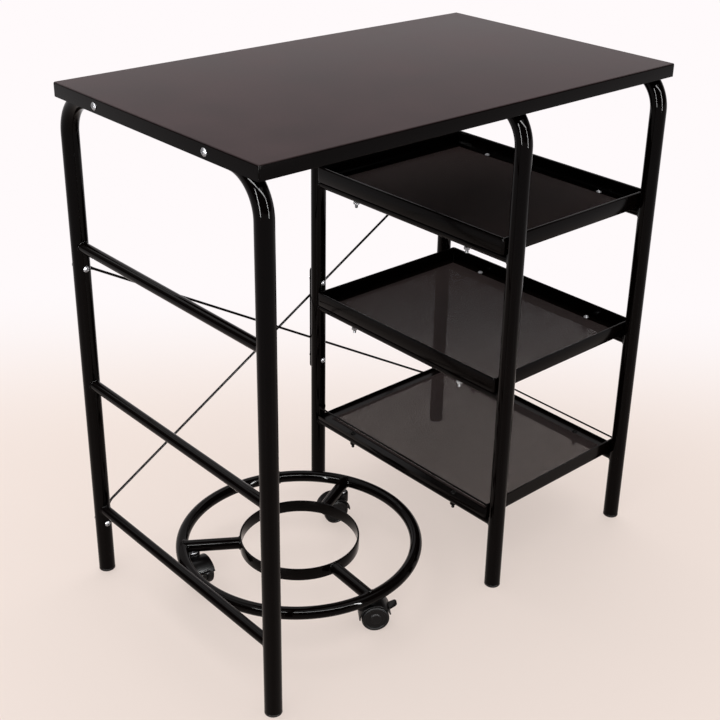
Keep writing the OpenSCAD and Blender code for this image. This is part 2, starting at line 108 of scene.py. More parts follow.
# Sizes of the fasteners, with angles in degrees
WELD_GAP = 0.0001
STRIP_BOLT_SPAN = 0.146
TOP_BOLT_R = 0.003
SMALL_BOLT_R = 0.0025
HEAD_SHARE = 1.8
HEAD_H = 0.003
NUT_SHARE = 0.8
BOLT_TAIL = 0.006
BRACE_TAIL = 0.003
THREAD_PITCH = 0.0008
THREAD_DEPTH = 0.00035
THREAD_LEAD = 0.0004
RECESS_W = 0.0014
RECESS_DEPTH = 0.0019
RECESS_SHARE = 1.25
RECESS_TAPER = (0.45, 0.8)
BOLT_TURN = 37
DOME_RINGS = 8
NUT_EASE = 0.0004
NUT_DISH = 0.0003

# Sizes of the brace
TAB_W = 0.014
TAB_T = 0.0025
TAB_L = 0.016
STEP_L = 0.018
ROD_R = 0.002
FALLING_RISE = 0.0046
RISING_RISE = 0.0087
BAR_EASE = 0.0003

# Sizes of the clips under the top
CLIP_L = 0.03
CLIP_W = 0.025
CLIP_T = 0.0025
CLIP_CORNER_R = 0.004
CLIP_BEND_R = 0.003

# Sizes of the stand, with angles in degrees
RING_STEPS = 132
RING_SEAM = 62
INNER_T = 0.003
INNER_EASE = 0.0007

# Sizes of the casters, with angles in degrees
TRAIL = 0.016
WEB_T = 0.012
WHEEL_W = 0.0105
WHEEL_ROOM = 0.0008
HOOD_ROOM = 0.0016
HOOD_T = 0.002
HOOD_FROM = 20
HOOD_SWEEP = 160
HOOD_STEPS = 28
HOOD_EASE = 0.0008
WEB_EASE = 0.0004
WEB_INSET = 0.002
WEB_BACK = 4
FOOT_TAB_L = 0.014
FOOT_TAB_W = 0.016
FOOT_TAB_T = 0.003
FOOT_TAB_TILT = 8
FOOT_TAB_TAPER = (0.86, 0.75)
FOOT_TAB_TIP_R = 0.004
FOOT_TAB_EASE = 0.0006
BOSS_R = 0.011
STEM_R = 0.004
COLLAR_R = 0.008
COLLAR_H = 0.002
END_PLAY = 0.0003
AXLE_R = 0.0025
AXLE_SHARE = 0.7
AXLE_GAP = 0.0001
PIN_EASE = 0.0005
HOOD_R = WHEEL_R + HOOD_ROOM
CASTER_W = WEB_T + 2 * (WHEEL_ROOM + WHEEL_W)

# Half section of a wheel in mm, from the hub's inner face round the tread to the cap
SECTION_R = 21
SECTION_W = 10.5
WHEEL_SECTION = [
    (6.0, 0.0), (8.0, 0.0), (8.4, 2.2), (15.2, 2.2), (16.0, 0.3), (17.4, 0.0),
    (19.2, 0.4), (20.4, 1.3), (20.9, 2.5), (21.0, 3.6),
    (21.0, 4.8), (20.5, 5.0), (20.5, 5.5), (21.0, 5.7),
    (21.0, 6.9), (20.9, 8.0), (20.4, 9.2), (19.2, 10.1), (17.4, 10.5),
    (16.6, 10.4), (16.0, 9.8), (15.7, 8.9), (12.0, 8.6), (9.2, 8.8),
    (8.6, 9.6), (7.8, 10.2), (6.0, 10.45), (2.0, 10.5),
]


# Hand tools for modelling


def put_down():
    """Leave edit mode with nothing selected."""
    if bpy.context.mode != "OBJECT":
        bpy.ops.object.mode_set(mode="OBJECT")
    bpy.ops.object.select_all(action="DESELECT")


def take(*pieces):
    """Select these pieces alone, the first one active."""
    put_down()
    for piece in pieces:
        piece.select_set(True)
    bpy.context.view_layer.objects.active = pieces[0]
    return pieces[0]


def begin(name):
    """Name the new primitive, settle its place in its mesh and open it, selected all over."""
    piece = bpy.context.object
    piece.name = name
    piece.data.name = name
    bpy.ops.object.transform_apply(location=True, rotation=True, scale=True)
    bpy.ops.object.mode_set(mode="EDIT")
    bpy.ops.mesh.select_all(action="SELECT")
    return piece


def choose(piece, kind, test):
    """In edit mode, select only the corners, edges or faces that pass the test on their middle."""
    bpy.ops.mesh.select_mode(type=kind)
    bpy.ops.mesh.select_all(action="DESELECT")
    mesh = bmesh.from_edit_mesh(piece.data)
    groups = {"VERT": mesh.verts, "EDGE": mesh.edges, "FACE": mesh.faces}
    for part in groups[kind]:
        corners = [part] if kind == "VERT" else part.verts
        middle = sum((corner.co for corner in corners), Vector()) / len(corners)
        if test(part, middle):
            part.select_set(True)
    mesh.select_flush_mode()
    bmesh.update_edit_mesh(piece.data)


def extrude(x=0, y=0, z=0):
    bpy.ops.mesh.extrude_region_move(TRANSFORM_OT_translate={"value": (x, y, z)})


def resize(x, y, z, centre):
    bpy.ops.transform.resize(value=(x, y, z), center_override=tuple(centre))


def bevel(width, segments, affect="EDGES"):
    bpy.ops.mesh.bevel(offset=width, segments=segments, affect=affect)


def close_up(piece):
    """Merge doubles, turn all faces outwards and leave edit mode."""
    bpy.ops.mesh.select_all(action="SELECT")
    bpy.ops.mesh.remove_doubles(threshold=SMALL)
    bpy.ops.mesh.normals_make_consistent(inside=False)
    bpy.ops.object.mode_set(mode="OBJECT")
    return piece


def modify(piece, kind, **settings):
    """Add a modifier and apply it."""
    take(piece)
    modifier = piece.modifiers.new(kind.lower(), kind)
    for name, value in settings.items():
        setattr(modifier, name, value)
    bpy.ops.object.modifier_apply(modifier=modifier.name)


def smooth(piece, angle=38):
    take(piece)
    bpy.ops.object.shade_smooth_by_angle(angle=math.radians(angle))
    return piece


def move_to(piece, place):
    """Put a piece at a place and settle that place in its mesh."""
    take(piece)
    piece.matrix_world = place
    bpy.ops.object.transform_apply(location=True, rotation=True, scale=True)
    return piece


def copy_to(pattern, name, place):
    """A copy of a pattern, with a mesh of its own, at a place."""
    take(pattern)
    bpy.ops.object.duplicate(linked=False)
    twin = bpy.context.object
    twin.name = name
    twin.data.name = name
    return move_to(twin, place)


def throw_away(*patterns):
    for pattern in patterns:
        bpy.data.objects.remove(pattern)


def join(name, pieces):
    """One piece of several."""
    joined = take(*pieces)
    bpy.ops.object.join()
    joined.name = name
    joined.data.name = name
    return joined


def at(x=0, y=0, z=0):
    return Matrix.Translation((x, y, z))


def turn(degrees, axis):
    return Matrix.Rotation(math.radians(degrees), 4, axis)


# Round stock


def turned(name, outline, around):
    """A closed round piece about Z, drawn out ring by ring through (radius, height) pairs."""
    radius, height = outline[0]
    put_down()
    bpy.ops.mesh.primitive_circle_add(
        vertices=around, radius=radius, location=(0, 0, height), fill_type="NGON"
    )
    piece = begin(name)
    for next_radius, next_height in outline[1:]:
        extrude(z=next_height - height)
        share = next_radius / radius
        resize(share, share, 1, (0, 0, next_height))
        radius, height = next_radius, next_height
    return smooth(close_up(piece))


def open_tube(name, radius, start, tilt=(0, 0, 0), around=40):
    """The first round of a tube, open for editing."""
    put_down()
    bpy.ops.mesh.primitive_circle_add(
        vertices=around, radius=radius, location=start, rotation=tilt, fill_type="NGON"
    )
    return begin(name)


def weld_bead(name, radius, leg_r):
    """A rippled bead round a tube that comes up along Z from the round of a leg along Y."""
    put_down()
    bpy.ops.mesh.primitive_torus_add(
        major_radius=radius, minor_radius=BEAD_R, major_segments=3 * BEAD_RIPPLES, minor_segments=8
    )
    bead = begin(name)
    mesh = bmesh.from_edit_mesh(bead.data)
    for corner in mesh.verts:
        out = Vector((corner.co.x, corner.co.y, 0))
        core = out.normalized() * radius
        swell = 1 + BEAD_RIPPLE * math.sin(BEAD_RIPPLES * math.atan2(out.y, out.x))
        corner.co = core + (corner.co - core) * swell
        across = min(abs(corner.co.x), BEAD_REACH * leg_r)
        corner.co.z += math.sqrt(leg_r**2 - across**2) - leg_r
    bmesh.update_edit_mesh(bead.data)
    return smooth(close_up(bead), 60)


def bent_frame(name, x):
    """Tube up from a front foot, over two bends and down to the back foot."""
    bend_y = LEG_Y - BEND_R
    bend_z = RUN_Z - BEND_R
    piece = open_tube(name, TUBE_R, (x, -LEG_Y, LEG_LOW))
    extrude(z=bend_z - LEG_LOW)
    for centre_y in (-bend_y, bend_y):
        bpy.ops.mesh.spin(
            steps=BEND_STEPS, angle=math.pi / 2, center=(x, centre_y, bend_z), axis=(1, 0, 0)
        )
        if centre_y < 0:
            extrude(y=2 * bend_y)
    extrude(z=LEG_LOW - bend_z)
    return smooth(close_up(piece))


def rung_pattern():
    """A rung along Y at the origin, with a weld bead at each leg."""
    seat = LEG_Y - TUBE_R
    reach = seat + RUNG_BITE
    rung = open_tube("rung", RUNG_R, (0, -reach, 0), (math.pi / 2, 0, 0), 32)
    extrude(y=2 * reach)
    smooth(close_up(rung))
    bead = weld_bead("bead", RUNG_R, TUBE_R)
    front = copy_to(bead, "front_bead", at(y=-seat) @ turn(-90, "X"))
    back = copy_to(bead, "back_bead", at(y=seat) @ turn(90, "X"))
    throw_away(bead)
    return join("rung", [rung, front, back])


def foot_pattern():
    """A plug with a chamfered sole, a flange and a short neck in the tube."""
    height = LEG_LOW
    return turned(
        "foot",
        [
            (0.6 * TUBE_R, 0.0006),
            (0.62 * TUBE_R, 0),
            (TUBE_R - 0.0008, 0),
            (TUBE_R, 0.0008),
            (TUBE_R, height - 0.0006),
            (TUBE_R - 0.0005, height - 0.0001),
            (TUBE_R - PLUG_WALL, height),
            (TUBE_R - PLUG_WALL, height + PLUG_NECK),
        ],
        40,
    )


# Folded sheet


def folded_top():
    """Sheet with a skirt on all sides and a lip under the long ones."""
    put_down()
    bpy.ops.mesh.primitive_cube_add(size=1, location=top_middle, scale=top_size)
    top = begin("top_panel")
    low = top_middle.z - top_size.z / 2
    high = low + top_size.z
    choose(top, "FACE", lambda face, middle: middle.z < low + SMALL)
    bpy.ops.mesh.delete(type="ONLY_FACE")
    for side in SIDES:
        choose(
            top,
            "EDGE",
            lambda edge, middle: middle.z < low + SMALL
            and side * middle.y > top_size.y / 2 - SMALL,
        )
        extrude(y=-side * LIP_W)
    choose(
        top,
        "EDGE",
        lambda edge, middle: middle.z > high - SMALL or abs(middle.z - top_middle.z) < SMALL,
    )
    bevel(FOLD_R, 6)
    choose(
        top,
        "EDGE",
        lambda edge, middle: middle.z < low + SMALL
        and abs(middle.y) > top_size.y / 2 - SMALL
        and edge.calc_length() > top_size.x / 2,
    )
    bevel(SHEET, 3)
    close_up(top)
    modify(top, "SOLIDIFY", thickness=SHEET, offset=-1, use_even_offset=True)
    return smooth(top, 30)


def rim_start(name, node):
    """The flange of a tray, its outer edge selected, with the rim's box."""
    middle, size = span(node)
    low = middle.z - size.z / 2
    opening = (size.x - 2 * FLANGE_W, size.y - 2 * FLANGE_W)
    put_down()
    seat = (middle.x, middle.y, low)
    bpy.ops.mesh.primitive_plane_add(size=1, location=seat)
    resize(*opening, 1, seat)
    rim = begin(name)
    bpy.ops.mesh.delete(type="ONLY_FACE")
    bpy.ops.mesh.select_all(action="SELECT")
    extrude()
    resize(size.x / opening[0], size.y / opening[1], 1, seat)
    return rim, middle, size, low


def round_corners(rim, low):
    """Round the upright corners of a wall that stands on the flange."""
    choose(rim, "EDGE", lambda edge, middle: middle.z > low + SMALL and upright(edge))
    bevel(TRAY_CORNER_R, 5)


def upright(edge):
    return abs(edge.verts[0].co.z - edge.verts[1].co.z) > SHEET


def is_fold(edge):
    """Whether a level face and an upright one meet at this edge."""
    level = abs(sum(face.normal.z for face in edge.link_faces))
    return len(edge.link_faces) == 2 and 0.5 < level < 1.5


def finish_rim(rim, low):
    """Soften the fold at the foot of the walls and give the sheet its thickness."""
    choose(rim, "EDGE", lambda edge, point: abs(point.z - low) < SMALL and is_fold(edge))
    bevel(0.6 * SHEET, 2)
    close_up(rim)
    modify(rim, "SOLIDIFY", thickness=SHEET, offset=-1)
    return smooth(rim, 30)


def hemmed_rim(name, node):
    """Tray rim: a flange, walls on all sides and a hem turned in at the top."""
    rim, middle, size, low = rim_start(name, node)
    extrude(z=size.z)
    round_corners(rim, low)
    choose(rim, "EDGE", lambda edge, point: point.z > low + size.z - SMALL)
    extrude()
    centre = (middle.x, middle.y, low + size.z)
    resize(1 - 2 * HEM_T / size.x, 1 - 2 * HEM_T / size.y, 1, centre)
    extrude(z=-HEM_H)
    choose(rim, "EDGE", lambda edge, point: point.z > low + size.z - SMALL and not upright(edge))
    bevel(HEM_EASE, 2)
    return finish_rim(rim, low)


def shelf_rim(name, node):
    """Shelf rim: a low edge, with a hemmed wall in front and an ear at each back corner."""
    rim, middle, size, low = rim_start(name, node)
    extrude(z=SHELF_EDGE_H)
    round_corners(rim, low)
    ear_x = size.x / 2 - SHELF_EAR_W
    for side in SIDES:
        bpy.ops.mesh.select_all(action="SELECT")
        bpy.ops.mesh.bisect(
            plane_co=(middle.x + side * ear_x, middle.y, low), plane_no=(1, 0, 0)
        )
    for side in SIDES:
        choose(
            rim,
            "EDGE",
            lambda edge, point: point.z > low + SHELF_EDGE_H - SMALL
            and side * (point.y - middle.y) > size.y / 2 - SMALL
            and (side < 0 or abs(point.x - middle.x) > ear_x),
        )
        extrude(z=size.z - SHELF_EDGE_H)
        extrude(y=-side * HEM_T)
        extrude(z=-HEM_H)
    return finish_rim(rim, low)


def wire_floor(name, node):
    """Crossed wires on a tray's flange, one layer along X and one along Y over it."""
    middle, size = span(node)
    layers = []
    for along, across, lift in ((0, 1, WIRE_R), (1, 0, CROSS_LIFT)):
        tilt = (0, math.pi / 2, 0) if along == 0 else (math.pi / 2, 0, 0)
        count = int(size[across] / WIRE_PITCH)
        start = Vector(middle)
        start[across] -= (count - 1) * WIRE_PITCH / 2
        start.z = middle.z - size.z / 2 + lift
        put_down()
        bpy.ops.mesh.primitive_cylinder_add(
            vertices=WIRE_SIDES, radius=WIRE_R, depth=size[along], location=start, rotation=tilt
        )
        wire = begin(f"{name}_layer_{along}")
        close_up(wire)
        step = [0, 0, 0]
        step[across] = WIRE_PITCH
        modify(
            wire,
            "ARRAY",
            count=count,
            use_relative_offset=False,
            use_constant_offset=True,
            constant_offset_displace=step,
        )
        layers.append(smooth(wire, 70))
    return join(name, layers)


def guard_wire(name, node):
    """A wire along Y with a weld blob at each end."""
    middle, size = span(node)
    radius = size.x / 2
    reach = size.y / 2
    wire = open_tube(name, radius, (0, -reach, 0), (math.pi / 2, 0, 0), 16)
    extrude(y=2 * reach)
    smooth(close_up(wire))
    blob = turned(
        "blob",
        [(0.3 * radius, 0), (1.5 * radius, 0.0002), (1.35 * radius, 0.001), (radius, 0.0022)],
        16,
    )
    front = copy_to(blob, "front_blob", at(y=-reach) @ turn(-90, "X"))
    back = copy_to(blob, "back_blob", at(y=reach) @ turn(90, "X"))
    throw_away(blob)
    return move_to(join(name, [wire, front, back]), at(*middle))


# Brace and clips


def plate(name, middle, size, rounded):
    """Flat bar in the XZ plane, with the corners that pass the test rounded over."""
    put_down()
    bpy.ops.mesh.primitive_cube_add(size=1, location=middle, scale=size)
    bar = begin(name)
    choose(
        bar,
        "EDGE",
        lambda edge, point: rounded(point)
        and abs(edge.verts[0].co.y - edge.verts[1].co.y) > SMALL,
    )
    bevel(0.49 * min(size.x, size.z), 10)
    choose(bar, "EDGE", lambda edge, point: edge.calc_face_angle() > 1.2)
    bevel(BAR_EASE, 2)
    return smooth(close_up(bar), 40)


def drawn_bar(name, sections, around=16):
    """A bar along X through sections of place, rise, half thickness and half width."""
    place, rise, thick, wide = sections[0]
    bar = open_tube(name, 1, (place, rise, 0), (0, math.pi / 2, 0), around)
    resize(1, thick, wide, (place, rise, 0))
    for next_place, next_rise, next_thick, next_wide in sections[1:]:
        extrude(x=next_place - place, y=next_rise - rise)
        resize(1, next_thick / thick, next_wide / wide, (next_place, next_rise, 0))
        place, rise, thick, wide = next_place, next_rise, next_thick, next_wide
    return smooth(close_up(bar))


def brace_rod(name, length, rise):
    """Rod along X from bolt to bolt, whose necks step in to flat tabs."""
    seat = TAB_T / 2
    step = rise - seat
    near = [
        (TAB_L - 0.007, seat, 0.8 * seat, 0.0030),
        (TAB_L - 0.003, seat, 1.02 * seat, 0.0042),
        (TAB_L, seat, 1.02 * seat, 0.0042),
        (TAB_L + 0.25 * STEP_L, seat + 0.16 * step, 1.1 * seat, 0.0036),
        (TAB_L + 0.5 * STEP_L, seat + 0.5 * step, 0.0016, 0.0029),
        (TAB_L + 0.75 * STEP_L, seat + 0.84 * step, 0.0018, 0.0023),
        (TAB_L + STEP_L, rise, ROD_R, ROD_R),
    ]
    far = [(length - place, *rest) for place, *rest in reversed(near)]
    rod = drawn_bar(name, near + far)
    tab_size = Vector((TAB_L + TAB_W / 2, TAB_T, TAB_W))
    tab_middle = Vector(((TAB_L - TAB_W / 2) / 2, seat, 0))
    tab = plate("near_tab", tab_middle, tab_size, lambda point: point.x < 0)
    far_tab = copy_to(tab, "far_tab", at(x=length) @ turn(180, "Y"))
    return join(name, [rod, tab, far_tab])


def clip_pattern():
    """Angle clip: one leg down beside the tube and one under the top, folded from flat bar."""
    put_down()
    bpy.ops.mesh.primitive_plane_add(
        size=1, location=(0, 0, -CLIP_W / 2), rotation=(0, math.pi / 2, 0)
    )
    bpy.context.object.scale = (CLIP_W, CLIP_L, 1)
    clip = begin("clip")
    choose(clip, "EDGE", lambda edge, middle: middle.z > -SMALL)
    extrude(x=CLIP_W)
    choose(clip, "VERT", lambda corner, middle: middle.z < -SMALL or middle.x > SMALL)
    bevel(CLIP_CORNER_R, 4, "VERTICES")
    choose(
        clip,
        "EDGE",
        lambda edge, middle: abs(middle.x) + abs(middle.z) < SMALL
        and edge.calc_length() > CLIP_L / 2,
    )
    bevel(CLIP_BEND_R, 4)
    close_up(clip)
    modify(clip, "SOLIDIFY", thickness=CLIP_T, offset=-1, use_even_offset=True)
    return smooth(clip, 30)


# Fasteners


def thread(radius, start, length):
    """Outline of a cut thread, from its tip up."""
    rings = int(length / THREAD_PITCH)
    outline = []
    for ring in range(rings):
        height = start + ring * THREAD_PITCH
        outline.append((radius - THREAD_DEPTH, height))
        outline.append((radius, height + THREAD_PITCH / 2))
    return outline


def pan_bolt(name, radius, grip, tail):
    """Bolt along Z: a domed head with a cross recess above Z = 0 and a threaded end."""
    head_r = HEAD_SHARE * radius
    wall = HEAD_H / 4
    rise = HEAD_H - wall
    dome_r = (rise**2 + head_r**2) / (2 * rise)
    tip = -grip - tail
    threaded = tail + 2 * radius
    outline = [(radius - 2 * THREAD_DEPTH, tip)]
    outline += thread(radius, tip + THREAD_LEAD, threaded)
    outline += [(radius, tip + threaded + THREAD_PITCH), (radius, 0), (head_r, 0), (head_r, wall)]
    for ring in range(1, DOME_RINGS - 1):
        reach = head_r * (1 - ring / DOME_RINGS)
        outline.append((reach, HEAD_H - dome_r + math.sqrt(dome_r**2 - reach**2)))
    bolt = turned(name, outline, 24)
    bars = []
    for angle in (0, 90):
        put_down()
        bpy.ops.mesh.primitive_cube_add(
            size=1,
            location=(0, 0, HEAD_H),
            scale=(RECESS_SHARE * head_r, RECESS_W, 2 * RECESS_DEPTH),
        )
        bar = begin("recess_bar")
        choose(bar, "FACE", lambda face, middle: middle.z < HEAD_H - RECESS_DEPTH / 2)
        resize(*RECESS_TAPER, 1, (0, 0, HEAD_H - RECESS_DEPTH))
        close_up(bar)
        bars.append(move_to(bar, turn(angle, "Z")))
    for bar in bars:
        modify(bolt, "BOOLEAN", operation="DIFFERENCE", object=bar, solver="EXACT")
    throw_away(*bars)
    return smooth(bolt, 32)


def hex_nut(name, radius):
    """Nut standing on Z = 0, its corners eased at both ends."""
    height = 2 * NUT_SHARE * radius
    put_down()
    bpy.ops.mesh.primitive_cylinder_add(
        vertices=6, radius=2 * radius, depth=height, location=(0, 0, height / 2)
    )
    nut = begin(name)
    choose(nut, "EDGE", lambda edge, middle: not upright(edge))
    bevel(NUT_EASE, 2)
    for end in (height, 0):
        choose(
            nut,
            "FACE",
            lambda face, middle: abs(middle.z - end) < SMALL and face.calc_area() > radius**2,
        )
        bpy.ops.mesh.inset(thickness=0.75 * radius, depth=-NUT_DISH)
    close_up(nut)
    return smooth(nut, 25)


# The stand


def stand_ring():
    """Tube rolled to a ring, with the bead of its butt joint."""
    start = stand_middle + Vector((RING_R, 0, 0))
    ring = open_tube("rolled_ring", RING_TUBE_R, start, (math.pi / 2, 0, 0), 32)
    bpy.ops.mesh.delete(type="ONLY_FACE")
    bpy.ops.mesh.select_all(action="SELECT")
    bpy.ops.mesh.spin(steps=RING_STEPS, angle=2 * math.pi, center=stand_middle, axis=(0, 0, 1))
    smooth(close_up(ring), 60)
    bead = weld_bead("ring_seam", RING_TUBE_R, 1)
    joint = at(*stand_middle) @ turn(RING_SEAM, "Z") @ at(x=RING_R) @ turn(-90, "X")
    return join("rolled_ring", [ring, move_to(bead, joint)])


def strip_ring():
    """Strip rolled on edge, with its four edges eased."""
    middle, size = span("stand_inner_ring")
    outer = size.x / 2
    low = middle.z - size.z / 2
    put_down()
    bpy.ops.mesh.primitive_circle_add(
        vertices=RING_STEPS, radius=outer - INNER_T, location=(middle.x, middle.y, low)
    )
    strip = begin("strip_ring")
    extrude()
    resize(outer / (outer - INNER_T), outer / (outer - INNER_T), 1, (middle.x, middle.y, low))
    bpy.ops.mesh.select_all(action="SELECT")
    extrude(z=size.z)
    choose(
        strip,
        "EDGE",
        lambda edge, point: not upright(edge) and edge.calc_length() > 1.2 * INNER_T,
    )
    bevel(INNER_EASE, 2)
    return smooth(close_up(strip), 40)


def spoke_pattern():
    """Spoke along X from the strip to the ring's round, with a weld bead at each end."""
    inner = span("stand_inner_ring")[1].x / 2
    spoke = open_tube("spoke", RING_TUBE_R, (inner - INNER_T / 3, 0, 0), (0, math.pi / 2, 0), 32)
    extrude(x=RING_R - inner + INNER_T / 3)
    smooth(close_up(spoke))
    saddle = weld_bead("saddle_bead", RING_TUBE_R, RING_TUBE_R)
    move_to(saddle, at(x=RING_R - RING_TUBE_R) @ turn(-90, "Y"))
    flat = weld_bead("strip_bead", RING_TUBE_R, inner)
    move_to(flat, at(x=inner) @ turn(90, "Y") @ turn(90, "Z"))
    return join("spoke", [spoke, saddle, flat])


# Casters, modelled round a swivel axis at the origin, with the trail along X


def stem_pattern():
    """Turned stem with a chamfered collar."""
    low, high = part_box("right_caster_stem")
    collar = BOSS_TOP + END_PLAY
    return turned(
        "stem",
        [
            (STEM_R - 2 * PIN_EASE, low.z),
            (STEM_R, low.z + 2 * PIN_EASE),
            (STEM_R, collar),
            (COLLAR_R - PIN_EASE, collar),
            (COLLAR_R, collar + PIN_EASE),
            (COLLAR_R, collar + COLLAR_H - PIN_EASE),
            (COLLAR_R - PIN_EASE, collar + COLLAR_H),
            (STEM_R, collar + COLLAR_H),
            (STEM_R, high.z - PIN_EASE),
            (STEM_R - PIN_EASE, high.z),
        ],
        32,
    )


def spun_section(name, radius, thick, wide, ease, start, sweep):
    """A rectangle with eased corners, spun round the axle and up over the wheels."""
    angle = math.radians(start)
    put_down()
    bpy.ops.mesh.primitive_plane_add(
        size=1,
        location=(TRAIL + radius * math.cos(angle), 0, WHEEL_R + radius * math.sin(angle)),
        rotation=(0, -angle, 0),
    )
    bpy.context.object.scale = (thick, wide, 1)
    piece = begin(name)
    bevel(ease, 3, "VERTICES")
    bpy.ops.mesh.select_all(action="SELECT")
    bpy.ops.mesh.spin(
        steps=HOOD_STEPS, angle=math.radians(sweep), center=(TRAIL, 0, WHEEL_R), axis=(0, 1, 0)
    )
    return close_up(piece)


def foot_tab():
    """Tapered tab that stands out from the front of the hood, its tip rounded."""
    root = HOOD_R + HOOD_T / 2
    put_down()
    bpy.ops.mesh.primitive_cube_add(
        size=1,
        location=(root + FOOT_TAB_L / 2, 0, 0),
        scale=(FOOT_TAB_L, FOOT_TAB_W, FOOT_TAB_T),
    )
    tab = begin("foot_tab")
    tip = root + FOOT_TAB_L
    choose(tab, "FACE", lambda face, middle: middle.x > tip - SMALL)
    resize(1, *FOOT_TAB_TAPER, (tip, 0, 0))
    choose(
        tab,
        "EDGE",
        lambda edge, middle: middle.x > tip - SMALL and abs(middle.y) > FOOT_TAB_W / 4,
    )
    bevel(FOOT_TAB_TIP_R, 5)
    choose(
        tab,
        "EDGE",
        lambda edge, middle: edge.calc_face_angle() > 1.1 and middle.x > root + SMALL,
    )
    bevel(FOOT_TAB_EASE, 2)
    close_up(tab)
    return move_to(tab, at(TRAIL, 0, WHEEL_R) @ turn(-HOOD_FROM - FOOT_TAB_TILT, "Y"))


def hood_pattern():
    """Hood over the wheels, its web, the stem's boss and the foot tab, as one moulding."""
    reach = HOOD_R + HOOD_T / 2
    hood = spun_section("hood", reach, HOOD_T, CASTER_W, HOOD_EASE, HOOD_FROM, HOOD_SWEEP)
    web = spun_section(
        "web",
        reach / 2 + WEB_INSET / 2,
        reach - WEB_INSET,
        WEB_T,
        WEB_EASE,
        HOOD_FROM + WEB_BACK,
        HOOD_SWEEP - 2 * WEB_BACK,
    )
    disc_r = 0.84 * WHEEL_R
    disc = turned(
        "web_disc",
        [
            (disc_r - 0.001, -WEB_T / 2 + 0.0002),
            (disc_r, -WEB_T / 2 + 0.0012),
            (disc_r, WEB_T / 2 - 0.0012),
            (disc_r - 0.001, WEB_T / 2 - 0.0002),
        ],
        48,
    )
    move_to(disc, at(TRAIL, 0, WHEEL_R) @ turn(90, "X"))
    low = 1.5 * WHEEL_R
    boss = turned(
        "boss",
        [
            (BOSS_R - 0.0010, low),
            (BOSS_R, low + 0.0010),
            (BOSS_R, BOSS_TOP - 0.0014),
            (BOSS_R - 0.0005, BOSS_TOP - 0.0004),
            (BOSS_R - 0.0014, BOSS_TOP),
            (COLLAR_R, BOSS_TOP),
            (COLLAR_R - 0.0006, BOSS_TOP - 0.0004),
        ],
        40,
    )
    put_down()
    bpy.ops.mesh.primitive_cylinder_add(
        vertices=72,
        radius=HOOD_R + HOOD_T / 3,
        depth=4 * BOSS_R,
        location=(TRAIL, 0, WHEEL_R),
        rotation=(math.pi / 2, 0, 0),
    )
    room = close_up(begin("wheel_room"))
    modify(boss, "BOOLEAN", operation="DIFFERENCE", object=room, solver="EXACT")
    tab = foot_tab()
    for part in (web, disc, boss, tab):
        modify(hood, "BOOLEAN", operation="UNION", object=part, solver="EXACT")
    throw_away(web, disc, boss, tab, room)
    take(hood)
    bpy.ops.object.mode_set(mode="EDIT")
    return smooth(close_up(hood), 35)


def wheel_pattern():
    """Wheel about Z, its inner face at Z = 0: a grooved tread, a dished face and a hub cap."""
    share = WHEEL_R / SECTION_R
    outline = [(radius * share, rise * WHEEL_W / SECTION_W) for radius, rise in WHEEL_SECTION]
    return turned("wheel", outline, 48)


def axle_pattern():
    """Pin along Z with chamfered ends."""
    reach = WEB_T / 2 + WHEEL_ROOM + AXLE_SHARE * WHEEL_W - AXLE_GAP
    return turned(
        "axle",
        [
            (AXLE_R - PIN_EASE, -reach),
            (AXLE_R, PIN_EASE - reach),
            (AXLE_R, reach - PIN_EASE),
            (AXLE_R - PIN_EASE, reach),
        ],
        24,
    )


# Finishes


class Field:
    """A value that varies over a surface. Sums and products of fields add Math nodes."""

    def __init__(self, finish, socket):
        self.finish = finish
        self.socket = socket

    def math(self, operation, first, second):
        return self.finish.node("ShaderNodeMath", {"operation": operation}, {0: first, 1: second})

    def __add__(self, other):
        return self.math("ADD", self, other)

    def __radd__(self, other):
        return self.math("ADD", other, self)

    def __rsub__(self, other):
        return self.math("SUBTRACT", other, self)

    def __mul__(self, other):
        return self.math("MULTIPLY", self, other)

    def __rmul__(self, other):
        return self.math("MULTIPLY", other, self)


class Finish:
    """The nodes of one finish."""

    def __init__(self, name, tree=None):
        self.material = None
        if tree is None:
            self.material = bpy.data.materials.new(name)
            self.material.use_nodes = True
            tree = self.material.node_tree
        self.tree = tree

    def node(self, kind, settings=None, sockets=None, out=0):
        """Add a node, set its settings, then give its sockets values or links."""
        node = self.tree.nodes.new(kind)
        for name, value in (settings or {}).items():
            setattr(node, name, value)
        self.feed(node, sockets or {})
        return Field(self, node.outputs[out])

    def feed(self, node, sockets):
        for name, value in sockets.items():
            if isinstance(value, Field):
                self.tree.links.new(value.socket, node.inputs[name])
            else:
                node.inputs[name].default_value = value

    def place(self):
        return self.node("ShaderNodeTexCoord", out="Object")

    def noise(self, place, scale, detail):
        sockets = {"Vector": place, "Scale": scale, "Detail": detail}
        return self.node("ShaderNodeTexNoise", {}, sockets)

    def between(self, value, low, high):
        """0 below low, 1 above high and a soft step between."""
        return self.node(
            "ShaderNodeMapRange",
            {"interpolation_type": "SMOOTHSTEP"},
            {"Value": value, "From Min": low, "From Max": high},
        )

    def mix(self, share, first, second):
        return self.node("ShaderNodeMix", {"data_type": "RGBA"}, {0: share, 6: first, 7: second}, 2)

    def height(self, vector):
        """The Z of a place or of a normal."""
        return self.node("ShaderNodeSeparateXYZ", {}, {0: vector}, 2)

    def upward(self):
        """How far a surface faces up: 1 on top, 0 on an upright wall."""
        return self.height(self.node("ShaderNodeNewGeometry", out="Normal"))

    def bump(self, height, strength, distance):
        sockets = {"Height": height, "Strength": strength, "Distance": distance}
        return self.node("ShaderNodeBump", {}, sockets)

    def surface(self, **sockets):
        """Set the Principled shader's sockets, named with underscores for spaces."""
        shader = self.tree.nodes["Principled BSDF"]
        self.feed(shader, {name.replace("_", " "): value for name, value in sockets.items()})
        return self.material


